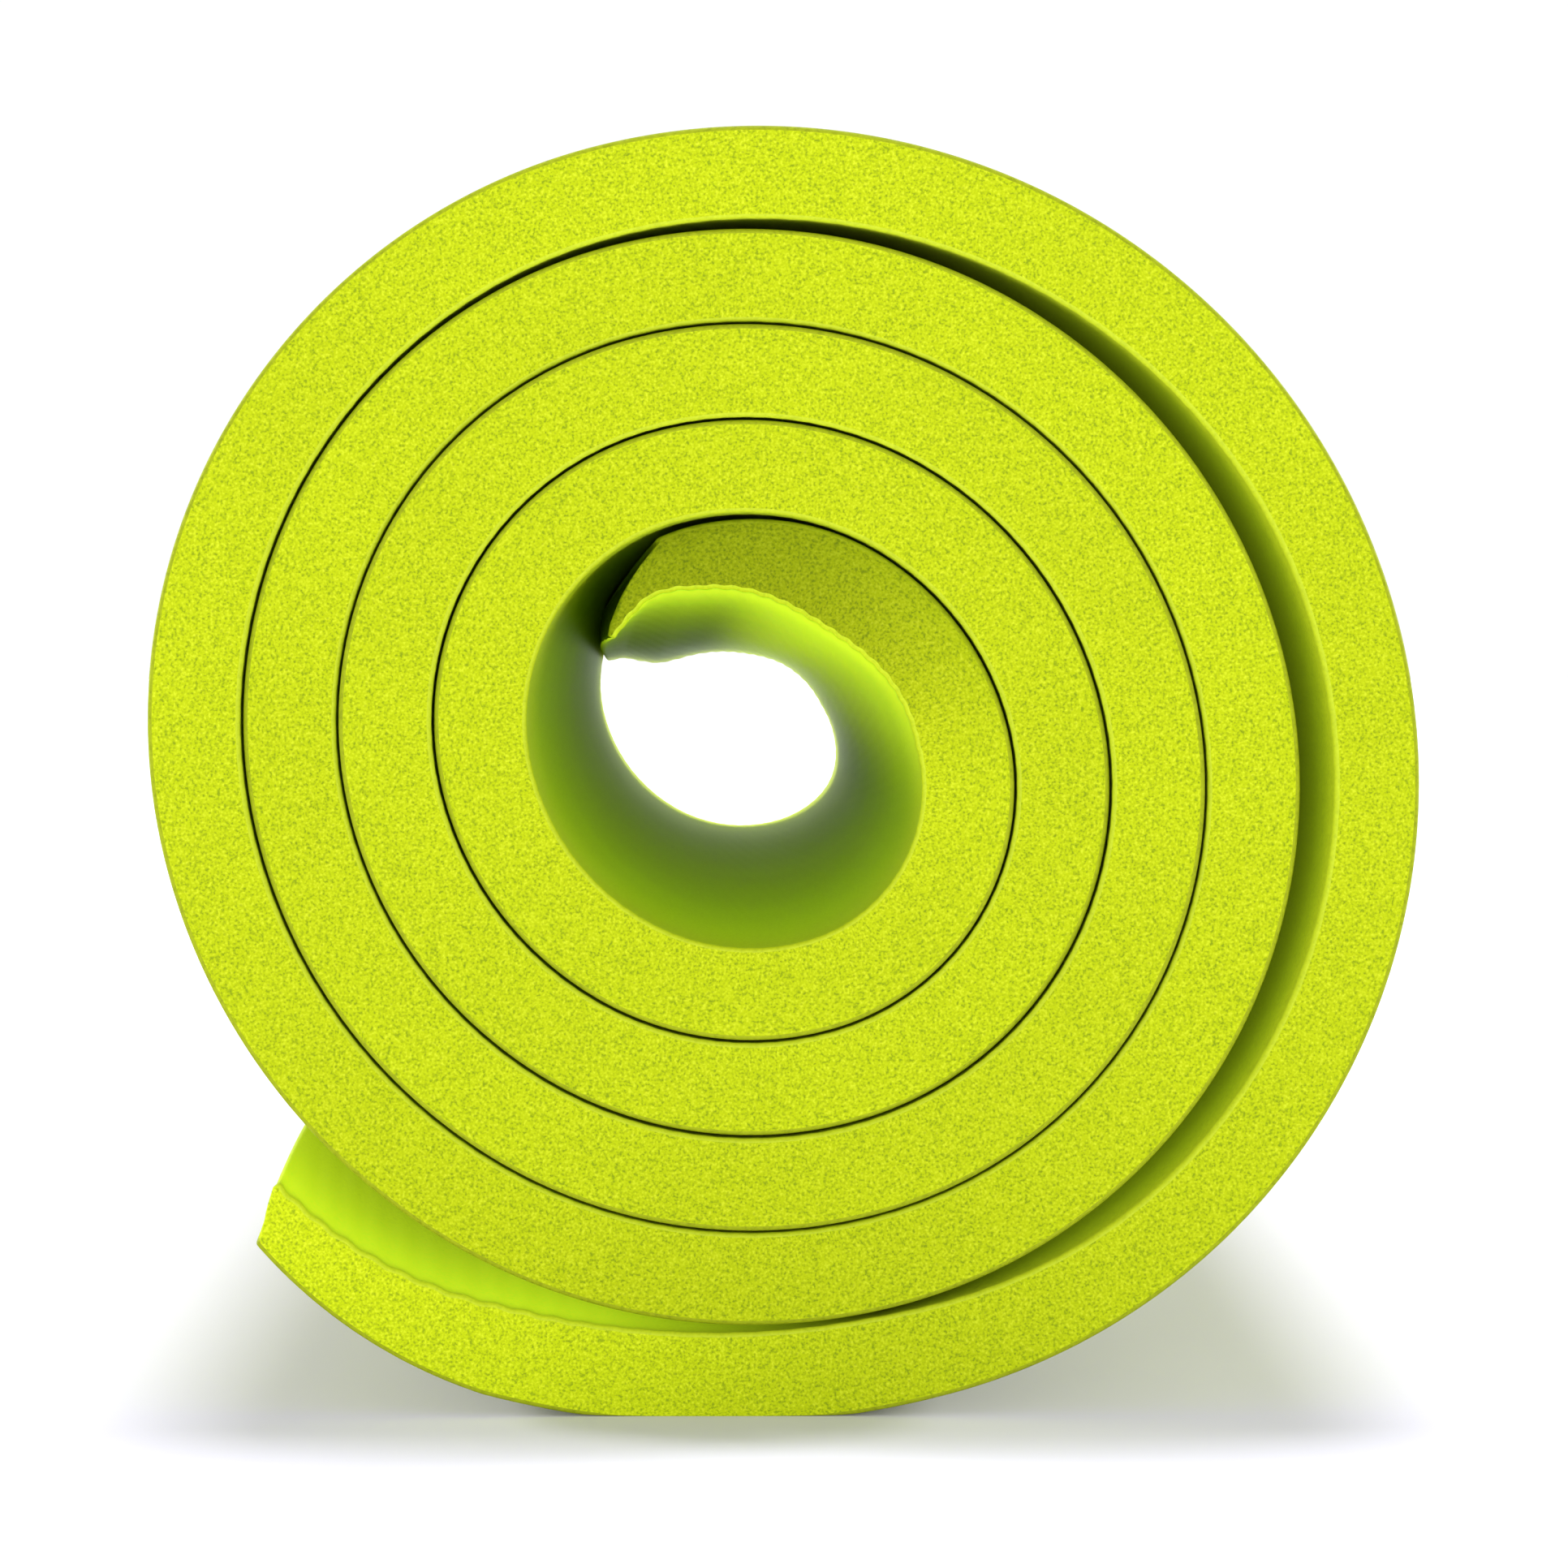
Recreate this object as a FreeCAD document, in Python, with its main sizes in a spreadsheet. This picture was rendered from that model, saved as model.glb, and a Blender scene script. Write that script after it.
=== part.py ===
"""A rolled foam exercise mat, modelled as the consecutive lengths of its one sheet.

Frame: X across the roll, Y along its axis, Z up, with the roll resting on Z = 0. Seen from the front,
which is the -Y side, the sheet winds clockwise from its inner end to its free end. Each length is a
sector of the roll, bent about a centre of its own. It meets its neighbours on lines square to the
sheet, so that the sheet runs on smoothly, and a narrow kerf leaves it room to turn about the outer skin.
"""

import FreeCAD, Part
import math
import os

import Sketcher

# Millimetres, and degrees that the sheet has turned through, counted from its inner end.
DRIVING = {
    "sheet_width": 610.0,
    "sheet_thickness": 14.6,
    "inner_end_thickness": 7.6,
    "free_end_thickness": 9.3,
    "kerf": 0.3,
    "core_radius": 29.31,
    "pitch": 15.01,
    "oval": 5.06,
    "oval_heading": 162.0,
    "slack": 3.55,
    "slack_heading": 1464.0,
    "slack_spread": 40.0,
    "straightening": 0.971,
    "straight_from": 1614.0,
    "inner_bend": 16.7,
    "length_bend": 45.0,
    "floor_bend": 30.0,
    "free_bend": 11.0,
    "free_radius": 74.0,
    "flat_depth": 1.4,
}
START_HEADING = 31.7  # direction in which the sheet sets off from its inner end, above +X
TURN_LENGTHS = 36
FREE_LENGTHS = 3  # the sheet thins towards its free end over these
THICKENING_LENGTHS = 3  # the sheet reaches its full thickness over this many lengths
FLAT_CUT_HALF_WIDTH = 60.0  # the cut that makes the flat is wider and taller than what it takes off
FLAT_CUT_HEIGHT = 20.0
PARTS_FOLDER = "parts"


def add_sheet(doc):
    """Adds the spreadsheet with the driving dimensions, one alias each."""
    table = doc.addObject("Spreadsheet::Sheet", "mat")
    for row, (alias, value) in enumerate(DRIVING.items(), start=1):
        table.set(f"A{row}", alias)
        table.set(f"B{row}", str(value))
        table.setAlias(f"B{row}", alias)
    doc.recompute()


def lengths():
    """Name, bend, radius and end thicknesses, as expressions, of each length from the inner end on."""
    names = ["inner_end"]
    names += [f"length_{number:02d}" for number in range(1, TURN_LENGTHS + 1)]
    names += ["floor_length"]
    names += [f"free_end_{number}" for number in range(1, FREE_LENGTHS + 1)]
    bends = ["mat.inner_bend"] + ["mat.length_bend"] * TURN_LENGTHS
    bends += ["mat.floor_bend"] + ["mat.free_bend"] * FREE_LENGTHS
    last = len(names)
    for index, (name, bend) in enumerate(zip(names, bends)):
        if index < last - FREE_LENGTHS:
            radius = bend_radius(" + ".join(bends[:index] + [f"{bend} / 2"]))
        else:
            radius = "mat.free_radius"
        yield name, bend, radius, (thickness(index, last), thickness(index + 1, last))


def thickness(seam, last):
    """Expression for the sheet's thickness at a seam between lengths; seam 0 is the inner end."""
    thickening = max(0.0, 1 - seam / THICKENING_LENGTHS)
    thinning = max(0.0, 1 - (last - seam) / FREE_LENGTHS)
    return (
        f"(mat.sheet_thickness - {thickening:.4f} * (mat.sheet_thickness - mat.inner_end_thickness)"
        f" - {thinning:.4f} * (mat.sheet_thickness - mat.free_end_thickness))"
    )


def bend_radius(turned):
    """Expression for the radius of the sheet's middle where it has turned through so many degrees."""
    return (
        f"(mat.core_radius + mat.pitch * ({turned}) / 360"
        f" - mat.oval * cos(2 * ({turned} - mat.oval_heading))"
        f" + mat.slack * exp(-pow(({turned} - mat.slack_heading) / mat.slack_spread; 2))"
        f" + mat.straightening * max({turned} - mat.straight_from; 0))"
    )


def skin_offsets(index, thicknesses):
    """Expressions for how far the outer skin stands from the sheet's middle at a length's two ends."""
    if index < THICKENING_LENGTHS:
        # the pinched end keeps its outer skin against the next turn
        return ["(mat.sheet_thickness / 2)"] * 2
    return [f"({thickness_there} / 2)" for thickness_there in thicknesses]


def origin_plane(body, role):
    return next(plane for plane in body.Origin.OriginFeatures if plane.Role == role)


def add_sketch(body, name):
    sketch = body.newObject("Sketcher::SketchObject", name)
    sketch.AttachmentSupport = (origin_plane(body, "XZ_Plane"), [""])
    sketch.MapMode = "FlatFace"
    return sketch


def bind(sketch, name, constraint, expression):
    """Adds a named dimension and ties it to an expression."""
    index = sketch.addConstraint(constraint)
    sketch.renameConstraint(index, name)
    sketch.setExpression(f"Constraints.{name}", expression)


def add_length(doc, name, bend, radius, thicknesses, offsets):
    """A sector of the roll, symmetric about its own +Z, with the bend's centre at the body's origin."""
    half = f"({bend} / 2 - mat.kerf / 2 / {radius} * 180 / pi)"
    reach = {}
    for side, thick, offset in zip(("start", "end"), thicknesses, offsets):
        reach[f"{side}_outer"] = f"({radius} + {offset})"
        reach[f"{side}_inner"] = f"({radius} + {offset} - {thick})"
    body = doc.addObject("PartDesign::Body", name)
    body.Label = name
    sketch = add_sketch(body, f"{name}_profile")
    draw_sector(sketch, reach, half)
    doc.recompute()
    pad = body.newObject("PartDesign::Pad", f"{name}_pad")
    pad.Profile = sketch
    pad.SideType = "Symmetric"
    pad.setExpression("Length", "mat.sheet_width")
    return body


def draw_sector(sketch, reach, half):
    """Two arcs joined by two end lines; the four corners are placed from the bend's centre."""
    lean = math.radians(sketch.evalExpression(half))
    far = {corner: float(sketch.evalExpression(text)) for corner, text in reach.items()}

    def point(corner):
        side = -1 if corner.startswith("start") else 1
        return FreeCAD.Vector(side * far[corner] * math.sin(lean), far[corner] * math.cos(lean), 0)

    def arc(layer):
        middle = (far[f"start_{layer}"] + far[f"end_{layer}"]) / 2
        top = FreeCAD.Vector(0, middle, 0)
        return Part.Arc(point(f"end_{layer}"), top, point(f"start_{layer}"))

    start, end, outer, inner = range(4)
    sketch.addGeometry(Part.LineSegment(point("start_outer"), point("start_inner")))
    sketch.addGeometry(Part.LineSegment(point("end_outer"), point("end_inner")))
    sketch.addGeometry(arc("outer"))
    sketch.addGeometry(arc("inner"))
    for curve, corner, line, line_end in (
        (outer, 1, end, 1),
        (outer, 2, start, 1),
        (inner, 1, end, 2),
        (inner, 2, start, 2),
    ):
        sketch.addConstraint(Sketcher.Constraint("Coincident", curve, corner, line, line_end))
    for line, side in ((start, "start"), (end, "end")):
        for line_end, layer in ((1, "outer"), (2, "inner")):
            corner = f"{side}_{layer}"
            across = (line, line_end, -1, 1) if side == "start" else (-1, 1, line, line_end)
            wide, high = far[corner] * math.sin(lean), far[corner] * math.cos(lean)
            bind(
                sketch,
                f"{corner}_across",
                Sketcher.Constraint("DistanceX", *across, wide),
                f"{reach[corner]} * sin({half})",
            )
            bind(
                sketch,
                f"{corner}_up",
                Sketcher.Constraint("DistanceY", -1, 1, line, line_end, high),
                f"{reach[corner]} * cos({half})",
            )
    for curve, layer in ((outer, "outer"), (inner, "inner")):
        middle = f"(({reach[f'start_{layer}']} + {reach[f'end_{layer}']}) / 2)"
        bind(
            sketch,
            f"{layer}_radius",
            Sketcher.Constraint("Radius", curve, float(sketch.evalExpression(middle))),
            middle,
        )


def flatten_underside(doc, body, radius, offset):
    """The weight of the roll presses a flat on the outer skin of the length that it lies on."""
    sketch = add_sketch(body, f"{body.Label}_flat")
    level = f"({radius} + {offset} - mat.flat_depth)"
    height = float(sketch.evalExpression(level))
    side, top = FLAT_CUT_HALF_WIDTH, height + FLAT_CUT_HEIGHT
    corners = [(-side, height), (side, height), (side, top), (-side, top)]
    points = [FreeCAD.Vector(x, y, 0) for x, y in corners]
    for first, second in zip(points, points[1:] + points[:1]):
        sketch.addGeometry(Part.LineSegment(first, second))
    for line in range(4):
        sketch.addConstraint(Sketcher.Constraint("Coincident", line, 2, (line + 1) % 4, 1))
        direction = "Horizontal" if line % 2 == 0 else "Vertical"
        sketch.addConstraint(Sketcher.Constraint(direction, line))
    sketch.addConstraint(Sketcher.Constraint("DistanceX", 0, 1, -1, 1, side))
    sketch.addConstraint(Sketcher.Constraint("DistanceX", 0, 1, 0, 2, 2 * side))
    sketch.addConstraint(Sketcher.Constraint("DistanceY", 1, 1, 1, 2, FLAT_CUT_HEIGHT))
    bind(sketch, "level", Sketcher.Constraint("DistanceY", -1, 1, 0, 1, height), level)
    doc.recompute()
    before = body.Shape.Volume
    pocket = body.newObject("PartDesign::Pocket", f"{body.Label}_pressed")
    pocket.Profile = sketch
    pocket.Type = "ThroughAll"
    pocket.SideType = "Symmetric"
    doc.recompute()
    if not body.Shape.Volume < before:
        raise RuntimeError("the underside was not flattened")


def build(doc):
    """Makes every length and lays them end to end. Returns the bodies and the seams between them."""
    add_sheet(doc)
    point = FreeCAD.Vector(0, 0, 0)
    heading = START_HEADING
    bodies, seams = [], []
    for index, (name, bend, radius, thicknesses) in enumerate(lengths()):
        offsets = skin_offsets(index, thicknesses)
        body = add_length(doc, name, bend, radius, thicknesses, offsets)
        if name == "floor_length":
            flatten_underside(doc, body, radius, offsets[0])
        angle, reach, skin = (float(body.evalExpression(text)) for text in (bend, radius, offsets[1]))
        centre = point - outward(heading) * reach
        turn = FreeCAD.Rotation(FreeCAD.Vector(0, 1, 0), angle / 2 - heading)
        body.Placement = FreeCAD.Placement(centre, turn)
        heading -= angle
        point = centre + outward(heading) * reach
        bodies.append(body)
        seams.append(point + outward(heading) * skin)
    doc.recompute()
    return bodies, seams[:-1]


def outward(heading):
    """Unit vector square to the sheet, away from the roll's axis, where the sheet runs at this heading."""
    angle = math.radians(heading)
    return FreeCAD.Vector(-math.sin(angle), 0, math.cos(angle))


def stand_on_floor(doc, bodies, seams):
    """Moves the roll so that it rests on Z = 0 with the origin under the middle of its box."""
    box = FreeCAD.BoundBox()
    for body in bodies:
        box.add(body.Shape.BoundBox)
    shift = FreeCAD.Vector(-box.Center.x, -box.Center.y, -box.ZMin)
    for body in bodies:
        body.Placement.Base = body.Placement.Base + shift
    doc.recompute()
    return [seam + shift for seam in seams]


def check(doc, bodies):
    for item in doc.Objects:
        if "Invalid" in item.State or "Error" in item.State:
            raise RuntimeError(f"{item.Name} has failed: {item.State}")
    for body in bodies:
        if body.Shape.isNull() or not body.Shape.isValid() or len(body.Shape.Solids) != 1:
            raise RuntimeError(f"{body.Label} is not one valid solid")


def main():
    doc = FreeCAD.newDocument("rolled_mat")
    bodies, seams = build(doc)
    seams = stand_on_floor(doc, bodies, seams)
    check(doc, bodies)
    os.makedirs(PARTS_FOLDER, exist_ok=True)
    for body in bodies:
        body.Shape.exportStep(os.path.join(PARTS_FOLDER, f"{body.Label}.step"))
    for number, seam in enumerate(seams, start=1):
        print(f"seam {number}: X {seam.x:.4f} Z {seam.z:.4f}")


main()
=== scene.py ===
"""Looks of a rolled foam exercise mat: one sheet of ribbed lime foam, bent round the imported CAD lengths.

Frame: X across the roll, Y along its axis, Z up, in metres. The front is the -Y side. Distances along
the sheet are measured on its middle, from the inner end.
"""

import math

import bpy
import numpy as np
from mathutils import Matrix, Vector


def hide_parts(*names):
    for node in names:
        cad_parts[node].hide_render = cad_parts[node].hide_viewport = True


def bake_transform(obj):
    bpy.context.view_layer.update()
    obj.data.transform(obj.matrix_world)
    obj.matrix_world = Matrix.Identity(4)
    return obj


MM = 0.001

# The roll, as the CAD source has it.
WIDTH = 610.0 * MM
THICKNESS = 14.6 * MM
INNER_END_THICKNESS = 7.6 * MM
FREE_END_THICKNESS = 9.3 * MM
CORE_RADIUS = 29.31 * MM
PITCH = 15.01 * MM
OVAL, OVAL_HEADING = 5.06 * MM, 162.0
SLACK, SLACK_HEADING, SLACK_SPREAD = 3.55 * MM, 1464.0, 40.0
STRAIGHTENING, STRAIGHT_FROM = 0.971 * MM, 1614.0
INNER_BEND, LENGTH_BEND, FLOOR_BEND, FREE_BEND = 16.7, 45.0, 30.0, 11.0
FREE_RADIUS = 74.0 * MM
FLAT_DEPTH = 1.4 * MM
START_HEADING = 31.7
TURN_LENGTHS, FREE_LENGTHS, THICKENING_LENGTHS = 36, 3, 3

# The mesh.
EDGE_RADIUS = 0.7 * MM
COLUMN_STEP = 1.1 * MM
FREE_COLUMN_STEP = 0.45 * MM  # where the inner skin is free and its ribs stand up
FREE_PIECES = 5
ROWS = 97
CUT_ROWS = 9
FLOOR_SOFTNESS = 0.4 * MM  # how softly the outer skin levels out where it meets the floor

# Stretches of the sheet over which something changes: start and length in millimetres. Those named
# TAIL start that far before the free end, the others that far from the inner end.
BORE_RIBS, TAIL_RIBS = (40, 35), (70, 30)
SLACK_START, SLACK_END = (1560, 100), (1770, 60)
# Stretches of the painted glow, and of the painted shade and painted light on the cut sides.
FLAP_GLOW, FLAP_GLOW_DEEPENS, TAIL_GLOW = (36, 46), (14, 24), (110, 70)
FLAP_SHADE, TAIL_LIGHT = (20, 55), (110, 60)
TIP_CUT, TAIL_CUT = (0, 34), (60, 60)
RECESSED = (0, 80)
DROOPING = (80, 25)

# Ribs of the inner skin.
INNER_RIB_PITCH, OUTER_RIB_PITCH = 3.3 * MM, 5.4 * MM  # at the inner end and at the free end
RIB_DEPTH = 0.05 * MM  # pressed flat inside the roll
FREE_RIB_DEPTH = 0.2 * MM
EDGE_RIB_DEPTH = 0.34 * MM  # at the front side
EDGE_RIB_REACH = 9 * MM
BORE_RIB_SHARE = 0.6
RIB_SKEW = 0.06
RIB_COUNT_START = -40 * MM  # the pitch stays the same before this point
RIB_WANDER = 0.9, 9.3 * MM  # radians, and length along the sheet for one more radian
SLOW_RIB_WANDER, WANDER_ACROSS = (0.7, 23 * MM), 90 * MM

# Shape of the sheet's sides and ends.
FLARE, FLARE_REACH = 1.3 * MM, 7 * MM
SIDE_WANDER = (0.45 * MM, 140 * MM), (0.25 * MM, 47 * MM)  # heights and lengths of two waves
RECESS, RECESS_AT_BACK, RECESS_POWER = 21 * MM, 0.15, 1.5
FLAP_SWELLING, FLAP_SWELLING_PLACE = 2.5 * MM, (31.5, 16.6)
TIP_REACH_AT_FRONT, TIP_REACH_DROP = 9.0 * MM, 4.4 * MM
TIP_SLANT, TIP_SLANT_POWER = 13.7 * MM, 1.5
TAIL_SKEW, TAIL_SKEW_REACH = 8.0 * MM, 230 * MM
TAIL_LEAN = 4.5 * MM

# How the inner end hangs in the bore: turns in degrees, and places along the sheet in millimetres.
DROOP_LENGTH = 110 * MM
FRONT_TIP_TURN, FRONT_TIP_LENGTH = 8.0, 12.5
FRONT_TURN, FRONT_TURN_PLACE = 2.0, (19, 8)
BACK_TURNS = (26.2, (22.6, 21.5)), (16.2, (69.6, 30))
BACK_TIP_TURN, BACK_TIP_LENGTH = 33.0, 15.6

# Painted light: a glow that the inner skin gives off near its free sides, standing in for light reaching
# its shaded faces, and how far in it reaches, in millimetres. Painted shade and painted light on the cut
# sides follow, then the glow's colour.
FLAP_GLOW_STRENGTH, FLAP_GLOW_REACH, FLAP_GLOW_MORE_REACH = 2.5, 120, 520
TAIL_GLOW_STRENGTH, TAIL_GLOW_REACH = 2.2, 110
GAP_GLOW_STRENGTH, GAP_GLOW_REACH = 0.62, 48
RIM_DIMMING, RIM_REACH = 0.85, 3.5
# Painted shade on the inner end's cut side and painted light on the free end's cut side.
FLAP_SHADE_STRENGTH, TAIL_LIGHT_STRENGTH = 0.42, 0.2
PAINTED_GLOW_TINT = (0.87, 1.0, 1.0, 1)

SKIN_RIB_PITCH = 3.9 * MM  # of the ribs in the outer skin's material

# The studio. Turns are in degrees. The sky dims between two heights, each the Z of a unit direction.
SKY_HEIGHTS, SKY_STRENGTHS = (0.3, 0.75), (1.02, 0.3)
FLOOR_REACH = 12.0
PAPER_COLOUR, PAPER_GLOW = (0.75, 0.735, 0.87, 1), 0.06
SUNS = (  # name, strength, angular size, turns
    ("overhead", 2.7, 24, (-17, 1, 0)),
    ("left", 2.2, 14, (0, -72, -28)),
    ("right", 2.4, 14, (0, 72, 28)),
)
LAMP_PLACE, LAMP_AIM, LAMP_SIZE, LAMP_POWER = (-0.4, -2.8, 0.2), (0, -0.3, 0.1), 0.7, 27.0
CAMERA_PLACE, CAMERA_AIM = (-0.0092, -1.330, 0.1261), (0.0, -0.305, 0.0999)
CAMERA_LENS, CAMERA_SENSOR = 149.5, 36.0


def bend_radius(turned):
    """Radius of the sheet's middle where it has turned through so many degrees."""
    return (
        CORE_RADIUS
        + PITCH * turned / 360
        - OVAL * math.cos(math.radians(2 * (turned - OVAL_HEADING)))
        + SLACK * math.exp(-(((turned - SLACK_HEADING) / SLACK_SPREAD) ** 2))
        + STRAIGHTENING * max(turned - STRAIGHT_FROM, 0)
    )


def smooth(t):
    """Smooth step: 0 up to t = 0, 1 from t = 1 on."""
    t = np.clip(t, 0, 1)
    return t * t * (3 - 2 * t)


def rise(s, stretch):
    """Goes from 0 to 1 over a stretch of the sheet."""
    start, length = stretch
    return smooth((s - start * MM) / (length * MM))


def tail_rise(roll, s, stretch):
    """Goes from 0 to 1 over a stretch that starts so far before the free end."""
    before, length = stretch
    return smooth((s - roll.end + before * MM) / (length * MM))


def hump(s, place):
    """A smooth bump of height 1 along the sheet, with its centre and spread in millimetres."""
    centre, spread = place
    return np.exp(-(((s - centre * MM) / (spread * MM)) ** 2))


def side_depth(y):
    """How far in from the nearer side of the sheet."""
    return WIDTH / 2 - np.abs(y)


class Roll:
    """The path of the sheet's middle, one circular arc for each CAD length."""

    def __init__(self):
        turn_names = [f"length_{i:02d}" for i in range(1, TURN_LENGTHS + 1)]
        free_names = [f"free_end_{i}" for i in range(1, FREE_LENGTHS + 1)]
        self.names = ["inner_end", *turn_names, "floor_length", *free_names]
        bends = [INNER_BEND, *[LENGTH_BEND] * TURN_LENGTHS, FLOOR_BEND, *[FREE_BEND] * FREE_LENGTHS]
        last = len(self.names)
        thickness = [self.thickness(seam, last) for seam in range(last + 1)]
        point, heading, turned, along = np.zeros(2), START_HEADING, 0.0, 0.0
        rows = []
        for i, bend in enumerate(bends):
            free = i >= last - FREE_LENGTHS
            radius = FREE_RADIUS if free else bend_radius(turned + bend / 2)
            centre = point - self.outward(heading) * radius
            out = [THICKNESS / 2] * 2
            if i >= THICKENING_LENGTHS:
                out = [thickness[i] / 2, thickness[i + 1] / 2]
            rows.append((along, radius, heading, *centre, *out, thickness[i], thickness[i + 1]))
            heading -= bend
            turned += bend
            along += radius * math.radians(bend)
            point = centre + self.outward(heading) * radius
        self.table = np.array(rows)
        self.start = self.table[:, 0]
        self.end = along
        self.arc = np.diff(np.append(self.start, along))
        self.middle = self.start + self.arc / 2
        self.stand_on_floor()

    @staticmethod
    def thickness(seam, last):
        """Thickness of the sheet at a seam between lengths, counted from the inner end."""
        thickening = max(0.0, 1 - seam / THICKENING_LENGTHS)
        thinning = max(0.0, 1 - (last - seam) / FREE_LENGTHS)
        return (
            THICKNESS
            - thickening * (THICKNESS - INNER_END_THICKNESS)
            - thinning * (THICKNESS - FREE_END_THICKNESS)
        )

    @staticmethod
    def outward(heading):
        """Unit vector from the sheet's middle towards its outer skin, in the X-Z plane."""
        angle = np.radians(heading)
        return np.stack([-np.sin(angle), np.cos(angle)], axis=-1)

    def stand_on_floor(self):
        """Moves the path to where the CAD lengths are."""
        fine_steps = 20000
        middle, heading, out, _ = self.at(np.linspace(0, self.end, fine_steps))
        skin = middle + self.outward(heading) * out[:, None]
        shift = np.array(
            [-(skin[:, 0].min() + skin[:, 0].max()) / 2, -FLAT_DEPTH - skin[:, 1].min()]
        )
        self.table[:, 3:5] += shift

    def at(self, s):
        """Middle point, heading, outer skin's offset and thickness at distances s along the sheet."""
        i = np.clip(np.searchsorted(self.start, s, side="right") - 1, 0, len(self.start) - 1)
        row = self.table[i]
        into = s - row[..., 0]
        share = into / self.arc[i]
        heading = row[..., 2] - np.degrees(into / row[..., 1])
        middle = row[..., 3:5] + self.outward(heading) * row[..., 1:2]
        share = np.clip(share, 0, 1)
        out = row[..., 5] + (row[..., 6] - row[..., 5]) * share
        thick = row[..., 7] + (row[..., 8] - row[..., 7]) * share
        return middle, heading, out, thick


class Section:
    """The loop of points round the sheet's cross-section: outer skin, back, inner skin, front."""

    def __init__(self):
        half = WIDTH / 2
        # The rows lie closer together towards the sheet's sides.
        skin = (half - EDGE_RADIUS) * np.sin(np.linspace(-np.pi / 2, np.pi / 2, ROWS))
        lean = np.radians([30.0, 60.0])
        over, inset = EDGE_RADIUS * np.sin(lean), EDGE_RADIUS * (1 - np.cos(lean))
        cut = np.linspace(0, 1, CUT_ROWS)
        edge = half - EDGE_RADIUS
        y, depth, share, part = [], [], [], []

        def add(ys, insets, shares, name):
            y.extend(ys)
            depth.extend(insets)
            share.extend(shares)
            part.extend([name] * len(ys))

        flat = [0.0] * ROWS
        add(skin, flat, flat, "outer")
        add(edge + over, inset, [0, 0], "outer")
        add([half] * CUT_ROWS, EDGE_RADIUS * (1 - 2 * cut), cut, "cut")
        add(edge + over[::-1], -inset[::-1], [1, 1], "inner")
        add(skin[::-1], flat, [1.0] * ROWS, "inner")
        add(-edge - over, -inset, [1, 1], "inner")
        add([-half] * CUT_ROWS, EDGE_RADIUS * (2 * cut - 1), 1 - cut, "cut")
        add(-edge - over[::-1], inset[::-1], [0, 0], "outer")
        self.y = np.array(y)
        self.inset = np.array(depth)
        self.share = np.array(share)
        self.part = np.array(part)
        self.count = len(y)
        self.outer_row = np.arange(ROWS)
        first_inner = ROWS + 2 + CUT_ROWS + 2
        self.inner_row = first_inner + ROWS - 1 - np.arange(ROWS)
        self.back_column = np.arange(ROWS - 1, first_inner + 1)
        self.front_column = np.concatenate(
            [[0], np.arange(self.count - 1, first_inner + ROWS - 2, -1)]
        )


def columns(roll):
    """Distances along the sheet of the mesh's columns, and the column at each piece's ends."""
    rounding = EDGE_RADIUS * (1 - np.cos(np.radians([0.0, 30.0, 60.0])))
    stops = [0.0, *roll.middle[1:-1], roll.end]
    spans, marks = [], [0]
    for i, (a, b) in enumerate(zip(stops, stops[1:])):
        head = rounding if i == 0 else np.zeros(0)
        tail = rounding if i == len(stops) - 2 else np.zeros(0)
        lo = a + (EDGE_RADIUS if i == 0 else 0)
        hi = b - (EDGE_RADIUS if len(tail) else 0)
        free = min(i, len(stops) - 2 - i) < FREE_PIECES
        n = max(8, round((hi - lo) / (FREE_COLUMN_STEP if free else COLUMN_STEP)))
        span = [*(a + head), *np.linspace(lo, hi, n + 1), *(b - tail[::-1])]
        if i:
            span = span[1:]
        spans += span
        marks.append(len(spans) - 1)
    return np.array(spans), marks


def rib_depth(roll, s, y):
    """Ribs of the inner skin: tall at the front of the free stretches, pressed flat inside the roll."""
    bore = BORE_RIB_SHARE * (1 - rise(s, BORE_RIBS))
    tail = tail_rise(roll, s, TAIL_RIBS)
    side = np.exp(-side_depth(y) / EDGE_RIB_REACH)
    tall = FREE_RIB_DEPTH + (EDGE_RIB_DEPTH - FREE_RIB_DEPTH) * side * (y < 0)
    return RIB_DEPTH + (tall - RIB_DEPTH) * np.maximum(bore, tail)


def ribs(roll, s, y):
    """How far the inner skin lies below the ribs' crests."""
    across = y + WIDTH / 2
    along = s - RIB_SKEW * across
    widening = (OUTER_RIB_PITCH - INNER_RIB_PITCH) / roll.end
    counted = np.maximum(along, RIB_COUNT_START)
    count = np.log(1 + widening * counted / INNER_RIB_PITCH) / widening
    turn, length = RIB_WANDER
    slow_turn, slow_length = SLOW_RIB_WANDER
    wander = turn * np.sin(s / length)
    wander += slow_turn * np.sin(s / slow_length + across / WANDER_ACROSS)
    phase = 2 * np.pi * count + wander
    return rib_depth(roll, s, y) * (0.5 - 0.5 * np.cos(phase))


def slack(s):
    """Where the last turn stands clear of the turn inside it: 1 there, 0 elsewhere."""
    return rise(s, SLACK_START) * (1 - rise(s, SLACK_END))


def flare(s, y):
    """Where the outer turns stand apart, the sheet's inner edges are worn back to a soft round."""
    return FLARE * slack(s) * np.exp(-side_depth(y) / FLARE_REACH)


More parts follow.
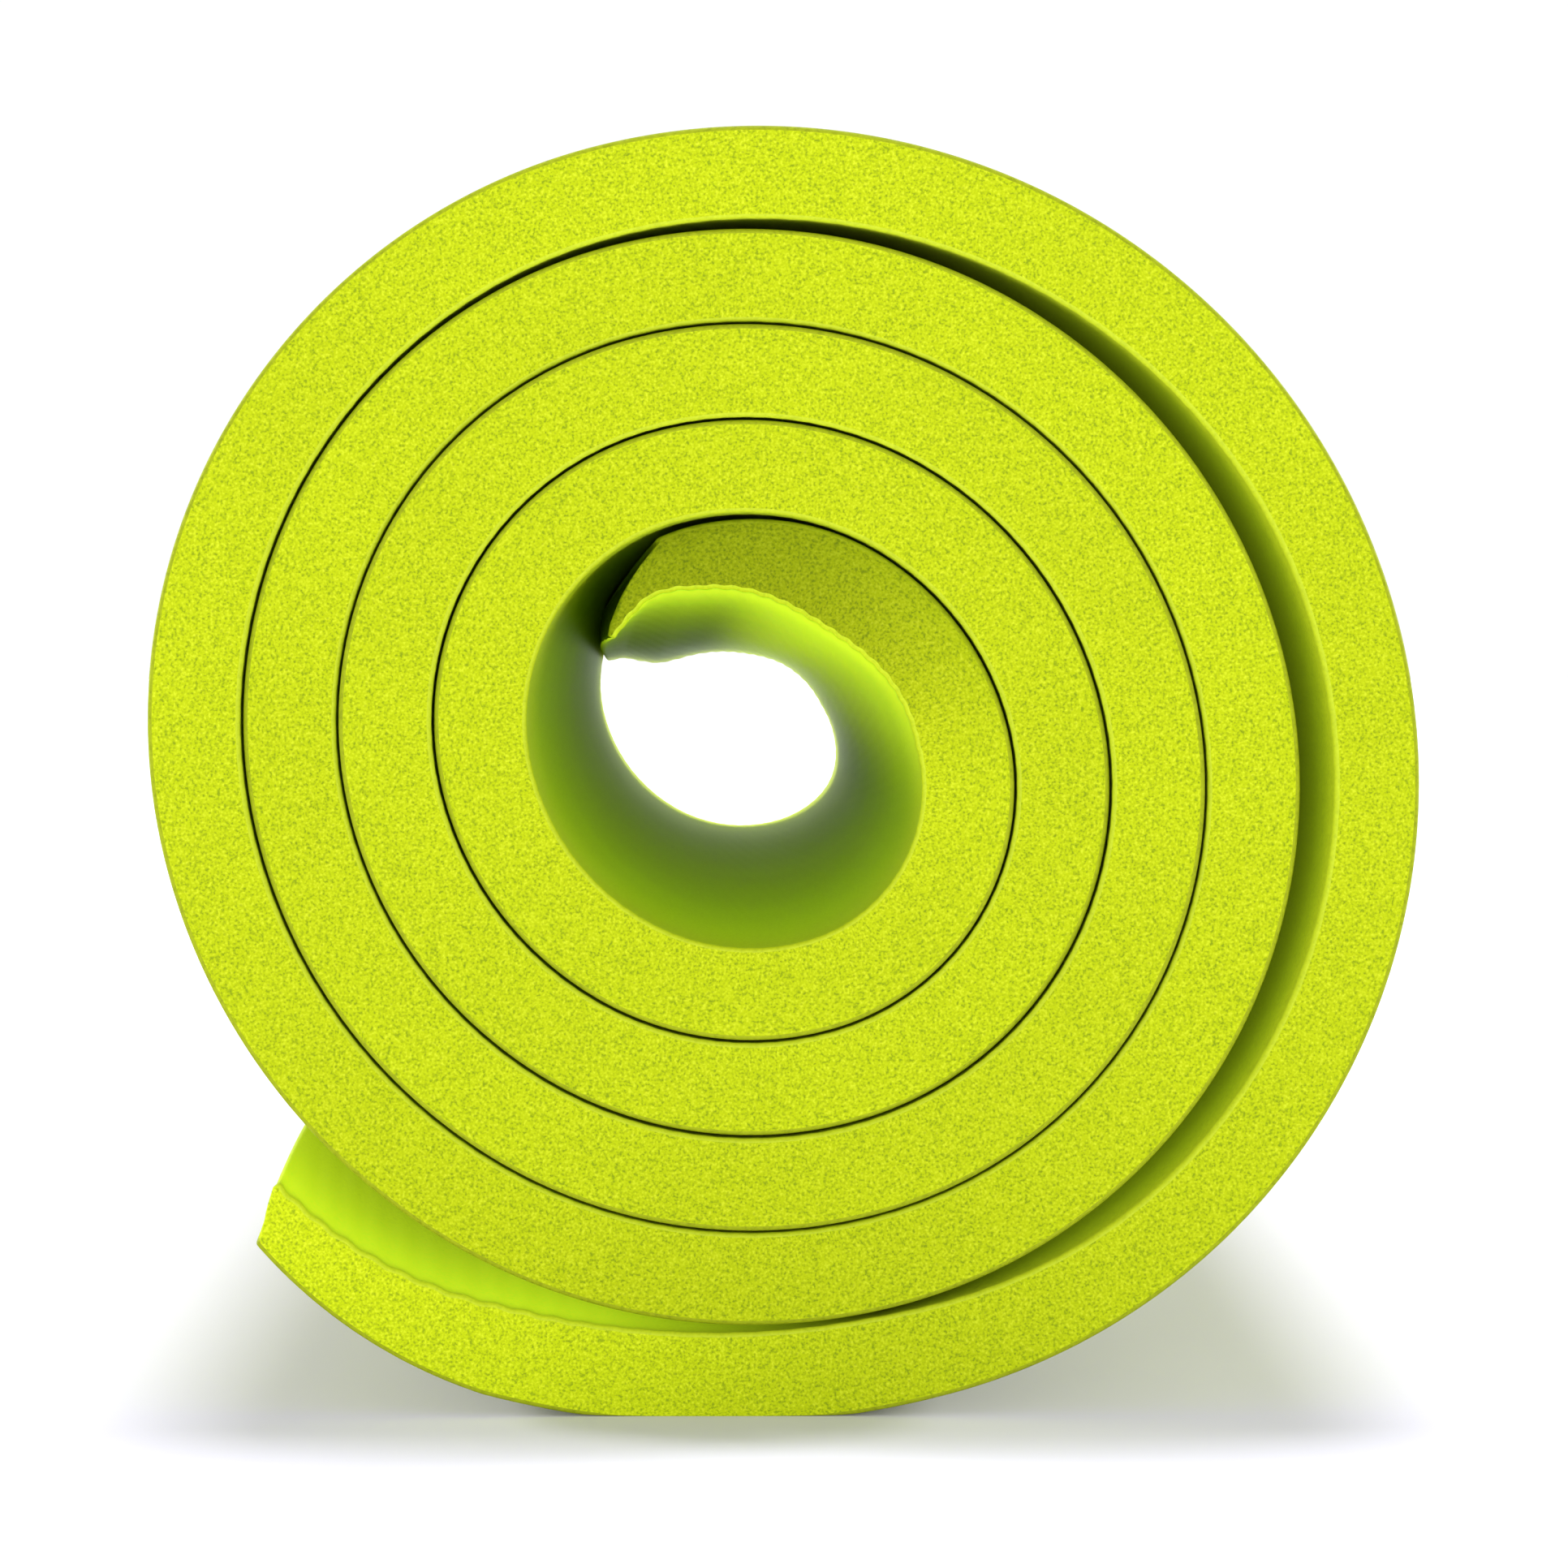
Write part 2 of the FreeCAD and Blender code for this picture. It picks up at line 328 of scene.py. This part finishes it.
def painted_glow(roll, s, y):
    """Strength of the painted glow: emission that stands in for light reaching the shaded inner skin where
    it is free, at the inner end, the free end and the gap of the last turn; it dims right at the sheet's
    sides.
    """
    depth = side_depth(y) / MM
    from_front = (y + WIDTH / 2) / MM
    reach = FLAP_GLOW_REACH + FLAP_GLOW_MORE_REACH * rise(s, FLAP_GLOW_DEEPENS)
    flap = FLAP_GLOW_STRENGTH * (1 - rise(s, FLAP_GLOW)) * np.exp(-from_front / reach)
    tail = TAIL_GLOW_STRENGTH * tail_rise(roll, s, TAIL_GLOW) * np.exp(-depth / TAIL_GLOW_REACH)
    gap = GAP_GLOW_STRENGTH * slack(s) * np.exp(-depth / GAP_GLOW_REACH)
    rim = 1 - RIM_DIMMING * np.exp(-depth / RIM_REACH)
    return rim * np.maximum(np.maximum(flap, tail), gap)


def painted_shade_and_light(roll, s):
    """Painted shade and painted light on the cut sides: darker at the inner end, which lies in the roll's
    shade, and lighter at the free end, which lies in the light.
    """
    shaded = FLAP_SHADE_STRENGTH * (1 - rise(s, FLAP_SHADE))
    return 1 - shaded + TAIL_LIGHT_STRENGTH * tail_rise(roll, s, TAIL_LIGHT)


def recess(s, back):
    """The inner end's front corner is cut back, so it sits a little way inside the roll."""
    across = 1 - (1 - RECESS_AT_BACK) * back
    return RECESS * across * (1 - rise(s, RECESSED)) ** RECESS_POWER


def end_cuts(roll, s, back, share):
    """Distances along the sheet once its two ends are cut as they are, not square to its faces."""
    near_tip = 1 - rise(s, TIP_CUT)
    near_tail = tail_rise(roll, s, TAIL_CUT)
    reach = TIP_REACH_AT_FRONT - TIP_REACH_DROP * back
    slant = TIP_SLANT * (1 - back) ** TIP_SLANT_POWER * (1 - share)
    skew = TAIL_SKEW * (1 - np.exp(-back * WIDTH / TAIL_SKEW_REACH))
    lean = TAIL_LEAN * (share - 0.5)
    return s + (slant - reach) * near_tip + (skew + lean) * near_tail


def droop(s, back, middle, heading):
    """Towards the back the inner end sags into the bore, and its tip reaches the far side of it."""
    count = int(np.searchsorted(s[:, 0], DROOP_LENGTH)) + 1
    part, w = s[:count], back[:count]
    at_front = FRONT_TIP_TURN * (1 - rise(part, (0, FRONT_TIP_LENGTH)))
    at_front += FRONT_TURN * hump(part, FRONT_TURN_PLACE)
    at_back = sum(turn * hump(part, place) for turn, place in BACK_TURNS)
    at_back -= BACK_TIP_TURN * (1 - rise(part, (0, BACK_TIP_LENGTH)))
    bend = (1 - w) * at_front + w * at_back
    bend = bend * (1 - rise(part, DROOPING))
    turned = heading.copy()
    turned[:count] += bend
    angle = np.radians((turned[: count - 1] + turned[1:count]) / 2)
    step = np.diff(part, axis=0)[..., None] * np.stack([np.cos(angle), np.sin(angle)], axis=-1)
    placed = middle.copy()
    placed[: count - 1] = middle[count - 1] - np.cumsum(step[::-1], axis=0)[::-1]
    return placed, turned


def sheet_points(roll, section, s):
    """Every point of the mesh, and its sheet coordinates, column by column."""
    y = np.broadcast_to(section.y, (len(s), section.count))
    back = np.clip(y / WIDTH + 0.5, 0, 1)
    s = np.broadcast_to(s[:, None], y.shape)
    # The end columns are drawn in, so that the sheet's ends are rounded like its sides.
    gap = np.clip(np.minimum(s - s[0], s[-1] - s), 0, EDGE_RADIUS)
    drawn = EDGE_RADIUS - np.sqrt(EDGE_RADIUS**2 - (EDGE_RADIUS - gap) ** 2)
    s = end_cuts(roll, s, back, section.share)
    middle, heading, out, thick = roll.at(s)
    middle, heading = droop(s, back, middle, heading)
    thick = thick + FLAP_SWELLING * hump(s, FLAP_SWELLING_PLACE) - flare(s, y)
    outer = out - drawn
    inner = out - thick + ribs(roll, s, y) + drawn
    offset = outer + (inner - outer) * section.share - section.inset
    xz = middle + Roll.outward(heading) * offset[..., None]
    shift = recess(s, back) + sum(height * np.sin(s / length) for height, length in SIDE_WANDER)
    depth = y * (1 - 2 * drawn / WIDTH) + shift
    z = xz[..., 1]
    pressed = FLOOR_SOFTNESS * np.exp(np.minimum(z - FLOOR_SOFTNESS, 0) / FLOOR_SOFTNESS)
    z = np.where(z < FLOOR_SOFTNESS, pressed, z)
    points = np.stack([xz[..., 0], depth, z], axis=-1)
    coords = np.stack([s, y, offset], axis=-1)
    return points, coords


def grid_normals(points):
    """Unit normals of the closed tube of points, facing out of the foam."""
    along = np.gradient(points, axis=0)
    around = np.roll(points, -1, axis=1) - np.roll(points, 1, axis=1)
    normal = np.cross(along, around)
    return normal / np.maximum(np.linalg.norm(normal, axis=-1, keepdims=True), 1e-12)


def cap(section, points, coords, base, first, flip):
    """Closes the tube at one column: new points inside the loop, their normals, and the faces."""
    rows = section.back_column.size
    front, back = points[section.front_column], points[section.back_column]
    u = np.linspace(0, 1, rows)[:, None, None]
    top, bottom = points[section.outer_row], points[section.inner_row]
    grid = (1 - u) * top + u * bottom
    grid[:, 0], grid[:, -1] = front, back
    index = np.full((rows, ROWS), -1)
    index[0], index[-1] = base + section.outer_row, base + section.inner_row
    index[:, 0], index[:, -1] = base + section.front_column, base + section.back_column
    inside = (slice(1, -1), slice(1, -1))
    new = grid[inside].reshape(-1, 3)
    index[inside] = first + np.arange(len(new)).reshape(rows - 2, ROWS - 2)
    sheet = (1 - u) * coords[section.outer_row] + u * coords[section.inner_row]
    facing = np.cross(np.gradient(grid, axis=0), np.gradient(grid, axis=1))[inside].reshape(-1, 3)
    facing /= np.linalg.norm(facing, axis=-1, keepdims=True) * (-1 if flip else 1)
    a, b, c, d = index[:-1, :-1], index[1:, :-1], index[1:, 1:], index[:-1, 1:]
    quads = np.stack([a, b, c, d], axis=-1).reshape(-1, 4)
    return new, facing, sheet[inside].reshape(-1, 3), quads[:, ::-1] if flip else quads


def make_piece(name, roll, section, points, coords, normals, materials):
    """A closed mesh from a run of columns, with materials for outer skin, cut sides and inner skin."""
    count, loop = points.shape[:2]
    column = np.arange(count - 1)[:, None] * loop
    here, after = np.arange(loop), np.roll(np.arange(loop), -1)
    quads = np.stack(
        [column + here, column + loop + here, column + loop + after, column + after], axis=-1
    ).reshape(-1, 4)
    cut = (section.part == "cut") & np.roll(section.part == "cut", -1)
    inner = np.where(np.minimum(section.share, np.roll(section.share, -1)) > 0.5, 2, 0)
    slots = np.tile(np.where(cut, 1, inner), count - 1)
    verts, sheet, dirs = [points.reshape(-1, 3)], [coords.reshape(-1, 3)], [normals.reshape(-1, 3)]
    faces = [quads]
    total = count * loop
    for at, flip in ((0, True), (count - 1, False)):
        new, facing, where, fill = cap(section, points[at], coords[at], at * loop, total, flip)
        verts.append(new)
        sheet.append(where)
        dirs.append(facing)
        faces.append(fill)
        slots = np.append(slots, np.ones(len(fill), int))
        total += len(new)
    verts, sheet, dirs = (np.concatenate(x) for x in (verts, sheet, dirs))
    faces = np.concatenate(faces)
    mesh = bpy.data.meshes.new(name)
    mesh.vertices.add(len(verts))
    mesh.vertices.foreach_set("co", verts.astype(np.float32).ravel())
    mesh.loops.add(faces.size)
    mesh.loops.foreach_set("vertex_index", faces.astype(np.int32).ravel())
    mesh.polygons.add(len(faces))
    mesh.polygons.foreach_set("loop_start", np.arange(0, faces.size, 4, dtype=np.int32))
    mesh.polygons.foreach_set("material_index", slots.astype(np.int32))
    mesh.update(calc_edges=True)
    mesh.polygons.foreach_set("use_smooth", np.ones(len(faces), bool))
    place = mesh.attributes.new("sheet", "FLOAT_VECTOR", "POINT")
    place.data.foreach_set("vector", sheet.astype(np.float32).ravel())
    # Painted glow, and painted shade and painted light, kept on the points for the materials.
    painted_glow_strength = mesh.attributes.new("painted_glow", "FLOAT", "POINT")
    painted_glow_strength.data.foreach_set("value", painted_glow(roll, sheet[:, 0], sheet[:, 1]).astype(np.float32))
    painted_shading = mesh.attributes.new("painted_shade_and_light", "FLOAT", "POINT")
    painted_shading.data.foreach_set("value", painted_shade_and_light(roll, sheet[:, 0]).astype(np.float32))
    for material in materials:
        mesh.materials.append(material)
    mesh.normals_split_custom_set_from_vertices(dirs.astype(np.float32).tolist())
    mesh.validate()
    piece = bpy.data.objects.new(name, mesh)
    bpy.context.scene.collection.objects.link(piece)
    return piece


def build_mat(materials):
    """One foam piece for each hinge line, from the middle of one length to the middle of the next."""
    roll, section = Roll(), Section()
    s, marks = columns(roll)
    points, coords = sheet_points(roll, section, s)
    normals = grid_normals(points)
    names = roll.names
    for i, (first, last) in enumerate(zip(marks, marks[1:])):
        run = slice(first, last + 1)
        piece = make_piece(
            f"foam_{i + 1:02d}", roll, section, points[run], coords[run], normals[run], materials
        )
        a, b = names[i], names[i + 1]
        ends, _, _, _ = roll.at(roll.middle[i : i + 2])
        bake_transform(piece)
        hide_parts(a, *([b] if last == marks[-1] else []))


def node(tree, kind, **values):
    """Adds a shader node; keys are socket names with _ for spaces, or the node's own settings."""
    made = tree.nodes.new(kind)
    for key, value in values.items():
        socket = made.inputs.get(key.replace("_", " "))
        if socket is None:
            setattr(made, key, value)
        elif isinstance(value, bpy.types.NodeSocket):
            tree.links.new(value, socket)
        else:
            socket.default_value = value
    return made


def math_node(tree, operation, *values):
    """Adds a shader node that works out a sum, product or sine, and returns its output."""
    made = node(tree, "ShaderNodeMath", operation=operation)
    for socket, value in zip(made.inputs, values):
        if isinstance(value, bpy.types.NodeSocket):
            tree.links.new(value, socket)
        else:
            socket.default_value = value
    return made.outputs[0]


def ramp(tree, value, *stops):
    """Adds a ramp of greys; each stop is a position and a brightness."""
    made = node(tree, "ShaderNodeValToRGB", Fac=value)
    for element, (at, shade) in zip(made.color_ramp.elements, stops):
        element.position = at
        element.color = (shade, shade, shade, 1)
    return made.outputs["Color"]


def mix(tree, factor, a, b, blend="MIX"):
    """Adds a colour mix of a and b, each a colour or a socket."""
    made = node(tree, "ShaderNodeMix", data_type="RGBA", blend_type=blend)
    for socket, value in ((made.inputs[0], factor), (made.inputs[6], a), (made.inputs[7], b)):
        if isinstance(value, bpy.types.NodeSocket):
            tree.links.new(value, socket)
        else:
            socket.default_value = value
    return made.outputs[2]


def attribute(tree, name, output="Fac"):
    """The value that the mesh holds under this name."""
    return node(tree, "ShaderNodeAttribute", attribute_name=name).outputs[output]


def foam(name, base, dark, light, grain, pores, bump, painted_glow_strength=0.0, painted_shading=False, rib=0.0, **shader):
    """Foam whose colour is flecked with darker pores and lighter cell walls, in sheet coordinates.

    grain and pores are the scales of the two patterns, and bump is the relief's depth in metres.
    The glow argument is how strongly a painted glow, emission that stands in for light reaching the foam's
    shaded faces, shows on its surface; the shading switch says whether the mesh's painted shade and
    painted light dim and lighten it, and rib is the height of its ribs, in bumps.
    """
    material = bpy.data.materials.new(name)
    material.use_nodes = True
    tree = material.node_tree
    surface = tree.nodes["Principled BSDF"]
    for key, value in shader.items():
        surface.inputs[key.replace("_", " ")].default_value = value
    black, base, dark, light = (0, 0, 0, 1), (*base, 1), (*dark, 1), (*light, 1)
    place = attribute(tree, "sheet", "Vector")
    fine = node(tree, "ShaderNodeTexNoise", Vector=place, Scale=grain, Detail=3.0, Roughness=0.6)
    fine = fine.outputs["Fac"]
    broad = node(tree, "ShaderNodeTexNoise", Vector=place, Scale=14.0, Detail=2.0)
    cells = node(tree, "ShaderNodeTexVoronoi", Vector=place, Scale=pores, Randomness=1.0)
    lit = ramp(tree, fine, (0.52, 0.0), (0.68, 1.0))
    pitted = ramp(tree, fine, (0.34, 1.0), (0.47, 0.0))
    pore = ramp(tree, cells.outputs["Distance"], (0.12, 1.0), (0.34, 0.0))
    colour = mix(tree, lit, base, light)
    colour = mix(tree, pitted, colour, dark)
    colour = mix(tree, mix(tree, 0.55, black, pore), colour, dark)
    shade = ramp(tree, broad.outputs["Fac"], (0.3, 0.94), (0.7, 1.0))
    colour = mix(tree, 1.0, colour, shade, "MULTIPLY")
    # Painted shade and painted light: the mesh's stored factor darkens the inner end's cut side and
    # lightens the free end's.
    if painted_shading:
        colour = mix(tree, 1.0, colour, attribute(tree, "painted_shade_and_light"), "MULTIPLY")
    tree.links.new(colour, surface.inputs["Base Color"])
    # Painted glow: emission, tinted greener, that brightens the shaded faces.
    if painted_glow_strength:
        strength = math_node(tree, "MULTIPLY", attribute(tree, "painted_glow"), painted_glow_strength)
        tree.links.new(strength, surface.inputs["Emission Strength"])
        tinted = mix(tree, 1.0, colour, PAINTED_GLOW_TINT, "MULTIPLY")
        tree.links.new(tinted, surface.inputs["Emission Color"])
    height = math_node(tree, "SUBTRACT", fine, mix(tree, 0.5, black, pore))
    if rib:
        along = node(tree, "ShaderNodeSeparateXYZ", Vector=place).outputs["X"]
        wave = math_node(tree, "SINE", math_node(tree, "MULTIPLY", along, 2 * math.pi / SKIN_RIB_PITCH))
        height = math_node(tree, "MULTIPLY_ADD", wave, rib, height)
    relief = node(tree, "ShaderNodeBump", Strength=1.0, Distance=bump, Height=height)
    tree.links.new(relief.outputs["Normal"], surface.inputs["Normal"])
    return material


def sky():
    """White at the horizon, dimmer overhead."""
    world = bpy.data.worlds.new("studio")
    world.use_nodes = True
    tree = world.node_tree
    direction = node(tree, "ShaderNodeTexCoord").outputs["Generated"]
    up = node(tree, "ShaderNodeSeparateXYZ", Vector=direction).outputs["Z"]
    dim = node(tree, "ShaderNodeMapRange", Value=up, interpolation_type="SMOOTHSTEP")
    dim.inputs["From Min"].default_value, dim.inputs["From Max"].default_value = SKY_HEIGHTS
    dim.inputs["To Min"].default_value, dim.inputs["To Max"].default_value = SKY_STRENGTHS
    background = tree.nodes["Background"].inputs
    background["Color"].default_value = (1, 1, 1, 1)
    tree.links.new(dim.outputs["Result"], background["Strength"])
    bpy.context.scene.world = world


def paper_floor():
    """A wide sheet of pale matt paper."""
    mesh = bpy.data.meshes.new("floor")
    corners = [(-1, -1), (1, -1), (1, 1), (-1, 1)]
    mesh.from_pydata([(x * FLOOR_REACH, y * FLOOR_REACH, 0) for x, y in corners], [], [(0, 1, 2, 3)])
    floor = bpy.data.objects.new("floor", mesh)
    bpy.context.scene.collection.objects.link(floor)
    paper = bpy.data.materials.new("paper")
    paper.use_nodes = True
    surface = paper.node_tree.nodes["Principled BSDF"].inputs
    surface["Base Color"].default_value = PAPER_COLOUR
    surface["Roughness"].default_value = 0.9
    surface["Specular IOR Level"].default_value = 0.0
    surface["Emission Color"].default_value = (1, 1, 1, 1)
    surface["Emission Strength"].default_value = PAPER_GLOW
    floor.data.materials.append(paper)


def point_at(thing, place, aim):
    """Puts a camera or lamp in its place and turns it towards a point."""
    place = Vector(place)
    thing.location = place
    thing.rotation_mode = "QUATERNION"
    thing.rotation_quaternion = (Vector(aim) - place).to_track_quat("-Z", "Y")


def studio():
    """Pale floor, bright sky, a broad sun overhead and one on each side, a front lamp, the camera."""
    sky()
    paper_floor()
    for name, energy, size, turns in SUNS:
        sun = bpy.data.lights.new(name, "SUN")
        sun.energy, sun.angle = energy, math.radians(size)
        lamp = bpy.data.objects.new(name, sun)
        lamp.rotation_euler = [math.radians(turn) for turn in turns]
        bpy.context.scene.collection.objects.link(lamp)
    light = bpy.data.lights.new("front", "AREA")
    light.energy, light.size = LAMP_POWER, LAMP_SIZE
    lamp = bpy.data.objects.new("front", light)
    point_at(lamp, LAMP_PLACE, LAMP_AIM)
    bpy.context.scene.collection.objects.link(lamp)
    camera = bpy.data.objects.new("camera", bpy.data.cameras.new("camera"))
    camera.data.lens, camera.data.sensor_width = CAMERA_LENS, CAMERA_SENSOR
    point_at(camera, CAMERA_PLACE, CAMERA_AIM)
    bpy.context.scene.collection.objects.link(camera)
    bpy.context.scene.camera = camera
    bpy.context.scene.view_settings.view_transform = "Standard"


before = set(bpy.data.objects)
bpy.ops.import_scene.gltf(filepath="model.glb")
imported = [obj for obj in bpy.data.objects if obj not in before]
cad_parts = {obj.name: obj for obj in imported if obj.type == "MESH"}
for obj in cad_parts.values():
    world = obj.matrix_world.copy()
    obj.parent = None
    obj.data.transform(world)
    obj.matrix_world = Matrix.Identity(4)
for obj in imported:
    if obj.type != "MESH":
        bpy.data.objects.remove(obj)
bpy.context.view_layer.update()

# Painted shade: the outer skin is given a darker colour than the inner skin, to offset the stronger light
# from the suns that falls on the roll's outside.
outer_skin = foam(
    "foam_outer_skin",
    base=(0.34, 0.41, 0.006),
    dark=(0.27, 0.33, 0.006),
    light=(0.38, 0.45, 0.009),
    grain=1500.0,
    pores=900.0,
    bump=0.00005,
    rib=1.6,
    Roughness=0.62,
    Specular_IOR_Level=0.14,
)
# The cut sides take the painted shade and painted light.
cut = foam(
    "foam_cut",
    base=(0.49, 0.60, 0.0042),
    dark=(0.26, 0.36, 0.008),
    light=(0.64, 0.73, 0.021),
    grain=2150.0,
    pores=1200.0,
    bump=0.00012,
    painted_shading=True,
    Roughness=0.85,
    Specular_IOR_Level=0.1,
)
# The inner skin gives off the painted glow, emission that brightens its shaded faces.
inner_skin = foam(
    "foam_inner_skin",
    base=(0.51, 0.62, 0.012),
    dark=(0.45, 0.56, 0.012),
    light=(0.55, 0.66, 0.016),
    grain=1500.0,
    pores=900.0,
    bump=0.00005,
    painted_glow_strength=0.48,
    Roughness=0.55,
    Specular_IOR_Level=0.2,
)
build_mat([outer_skin, cut, inner_skin])
studio()
